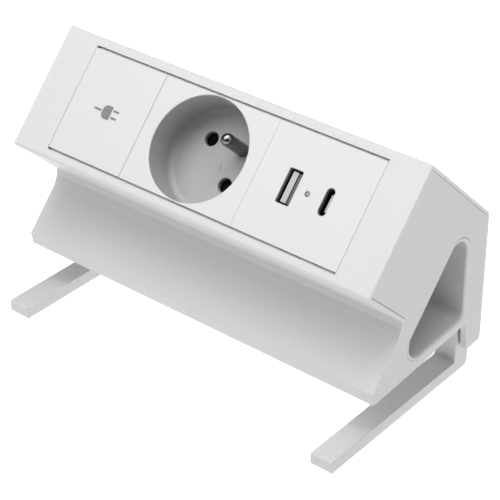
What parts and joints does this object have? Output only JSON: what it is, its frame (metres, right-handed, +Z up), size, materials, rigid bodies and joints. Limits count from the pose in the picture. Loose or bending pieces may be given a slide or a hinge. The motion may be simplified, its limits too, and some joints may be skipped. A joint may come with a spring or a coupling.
{
  "type": "desk power strip",
  "caption": "Clamp-on desk power strip: white extruded housing with a 45-degree face carrying a blank plate, a mains socket with an earth pin and a USB charger, on sliding desk clamps",
  "frame": {"origin": "centre of the underside of the bounding box, at the level of the clamp arms' heels", "axes": "+X along the housing, the face looks along -Y and up, +Z up"},
  "size_m": [0.158, 0.0888, 0.1049],
  "materials": {
    "powder_coat_white": "fine-texture white powder coat, satin",
    "bracket_paint": "white powder coat, satin",
    "end_cap_plastic": "white moulded plastic, fine spark-eroded texture",
    "module_plastic": "white polycarbonate, satin gloss",
    "dark_plastic": "near-black moulded plastic",
    "capacitor_sleeve": "shrink sleeve",
    "contact_brass": "bright spring brass",
    "pin_nickel": "polished nickel plate",
    "zinc_steel": "bright zinc plate",
    "board_green": "solder mask",
    "light_pipe": "clear smoke acrylic",
    "pad_rubber": "soft rubber",
    "wire_brown": "PVC insulation",
    "wire_blue": "PVC insulation",
    "wire_green_yellow": "PVC insulation"
  },
  "bodies": {
    "housing": {"housing_profile": "powder_coat_white", "end_cap_left": "end_cap_plastic", "end_cap_right": "end_cap_plastic", "blank_plate": "module_plastic", "socket_insert": "module_plastic", "usb_insert": "module_plastic", "usb_a_tongue": "module_plastic", "terminal_block": "module_plastic", "socket_base": "dark_plastic", "socket_rear_cover": "dark_plastic", "usb_case": "dark_plastic", "usb_c_tongue": "dark_plastic", "transformer": "dark_plastic", "gland_body": "dark_plastic", "gland_lock_nut": "dark_plastic", "gland_dome_nut": "dark_plastic", "filter_capacitor": "capacitor_sleeve", "live_contact": "contact_brass", "neutral_contact": "contact_brass", "earth_strap": "contact_brass", "earth_pin": "pin_nickel", "cover_screw_lower": "zinc_steel", "cover_screw_upper": "zinc_steel", "case_screw_lower": "zinc_steel", "case_screw_upper": "zinc_steel", "terminal_screw_neutral": "zinc_steel", "terminal_screw_live": "zinc_steel", "terminal_screw_earth": "zinc_steel", "shutter_spring": "zinc_steel", "usb_a_shell": "zinc_steel", "usb_c_shell": "zinc_steel", "usb_circuit_board": "board_green", "led_light_pipe": "light_pipe", "desk_pad_left": "pad_rubber", "desk_pad_right": "pad_rubber", "gland_seal": "pad_rubber", "live_wire": "wire_brown", "usb_live_wire": "wire_brown", "neutral_wire": "wire_blue", "usb_neutral_wire": "wire_blue", "earth_wire": "wire_green_yellow"},
    "clamp_left": {"clamp_bracket_left": "bracket_paint", "lock_washer_left": "zinc_steel"},
    "clamp_right": {"clamp_bracket_right": "bracket_paint", "lock_washer_right": "zinc_steel"},
    "screw_left": {"lock_screw_left": "zinc_steel"},
    "screw_right": {"lock_screw_right": "zinc_steel"},
    "shutter": {"socket_shutter": "dark_plastic"}
  },
  "joints": [
    {"name": "clamp_left_slide", "type": "slide", "parent": "housing", "child": "clamp_left", "axis": [0, 0, 1], "range_m": [-0.025, 0.008]},
    {"name": "lock_screw_left_turn", "type": "hinge", "parent": "clamp_left", "child": "screw_left", "pos_m": [-0.07085, 0.03385, 0.04415], "axis": [0, 1, 0], "range_deg": [0, 720]},
    {"name": "clamp_right_slide", "type": "slide", "parent": "housing", "child": "clamp_right", "axis": [0, 0, 1], "range_m": [-0.025, 0.008]},
    {"name": "lock_screw_right_turn", "type": "hinge", "parent": "clamp_right", "child": "screw_right", "pos_m": [0.07085, 0.03385, 0.04415], "axis": [0, 1, 0], "range_deg": [0, 720]},
    {"name": "socket_shutter_slide", "type": "slide", "parent": "housing", "child": "shutter", "axis": [-0.7071, -0.5, -0.5], "range_m": [0, 0.0065], "stiffness_N_per_m": 150, "springref_m": -0.002, "deforming": ["shutter_spring"]}
  ]
}
